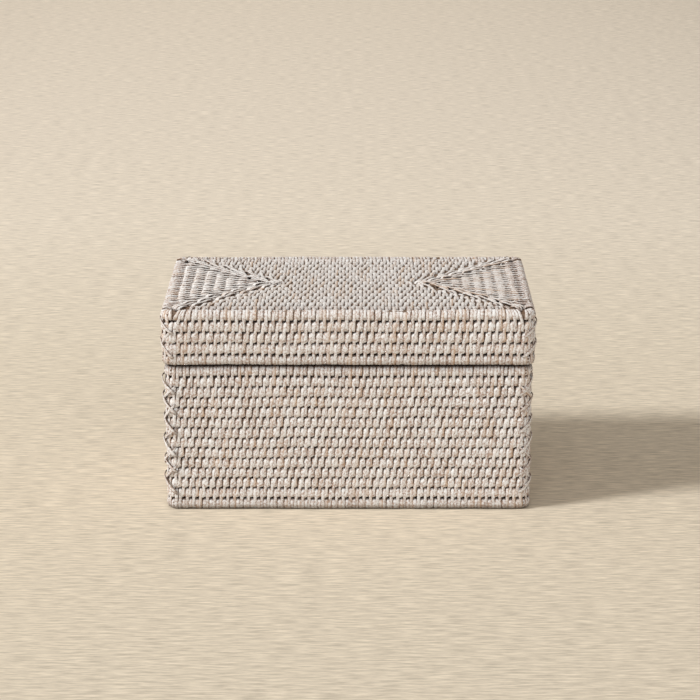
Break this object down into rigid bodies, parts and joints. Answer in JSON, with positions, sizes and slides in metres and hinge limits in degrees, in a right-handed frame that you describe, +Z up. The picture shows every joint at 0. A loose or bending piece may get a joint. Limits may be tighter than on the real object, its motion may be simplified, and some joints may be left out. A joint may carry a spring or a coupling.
{
  "type": "woven lidded box",
  "caption": "Rectangular woven rattan storage box: stacked round rods laced together with split cane, with a lift-off lid that drops over an inner collar.",
  "frame": {"origin": "on the table under the middle of the box, at the lowest point of the underside", "axes": "+X along the long side, +Y from the front to the back, +Z up"},
  "size_m": [0.332, 0.1968, 0.1873],
  "materials": {
    "cane_lacing": "whitewashed split cane, matt, with pinkish beige and a few ochre strips",
    "rattan_rod": "whitewashed round rattan, matt, darker in the gaps"
  },
  "bodies": {
    "base": {"base_foot_rod": "rattan_rod", "base_wall_rod_01": "rattan_rod", "base_wall_rod_02": "rattan_rod", "base_wall_rod_03": "rattan_rod", "base_wall_rod_04": "rattan_rod", "base_wall_rod_05": "rattan_rod", "base_wall_rod_06": "rattan_rod", "base_wall_rod_07": "rattan_rod", "base_wall_rod_08": "rattan_rod", "base_wall_rod_09": "rattan_rod", "base_wall_rod_10": "rattan_rod", "base_wall_rod_11": "rattan_rod", "base_wall_rod_12": "rattan_rod", "base_rim_rod": "rattan_rod", "base_front_lacing": "cane_lacing", "base_back_lacing": "cane_lacing", "base_left_lacing": "cane_lacing", "base_right_lacing": "cane_lacing", "base_corner_lashing_front_left": "cane_lacing", "base_corner_lashing_front_right": "cane_lacing", "base_corner_lashing_back_left": "cane_lacing", "base_corner_lashing_back_right": "cane_lacing", "floor_rod_01": "rattan_rod", "floor_rod_02": "rattan_rod", "floor_rod_03": "rattan_rod", "floor_rod_04": "rattan_rod", "floor_rod_05": "rattan_rod", "floor_rod_06": "rattan_rod", "floor_rod_07": "rattan_rod", "floor_rod_08": "rattan_rod", "floor_ridge_rod": "rattan_rod", "floor_lacing": "cane_lacing", "locating_collar": "rattan_rod"},
    "lid": {"lid_wall_rod_01": "rattan_rod", "lid_wall_rod_02": "rattan_rod", "lid_wall_rod_03": "rattan_rod", "lid_wall_rod_04": "rattan_rod", "lid_edge_rod": "rattan_rod", "lid_front_lacing": "cane_lacing", "lid_back_lacing": "cane_lacing", "lid_left_lacing": "cane_lacing", "lid_right_lacing": "cane_lacing", "lid_corner_lashing_front_left": "cane_lacing", "lid_corner_lashing_front_right": "cane_lacing", "lid_corner_lashing_back_left": "cane_lacing", "lid_corner_lashing_back_right": "cane_lacing", "lid_top_rod_01": "rattan_rod", "lid_top_rod_02": "rattan_rod", "lid_top_rod_03": "rattan_rod", "lid_top_rod_04": "rattan_rod", "lid_top_rod_05": "rattan_rod", "lid_top_rod_06": "rattan_rod", "lid_top_rod_07": "rattan_rod", "lid_top_rod_08": "rattan_rod", "lid_top_ridge_rod": "rattan_rod", "lid_top_lacing": "cane_lacing"}
  },
  "joints": [
    {"name": "lid_lift", "type": "slide", "parent": "base", "child": "lid", "axis": [0, 0, 1], "range_m": [0, 0.1]}
  ]
}
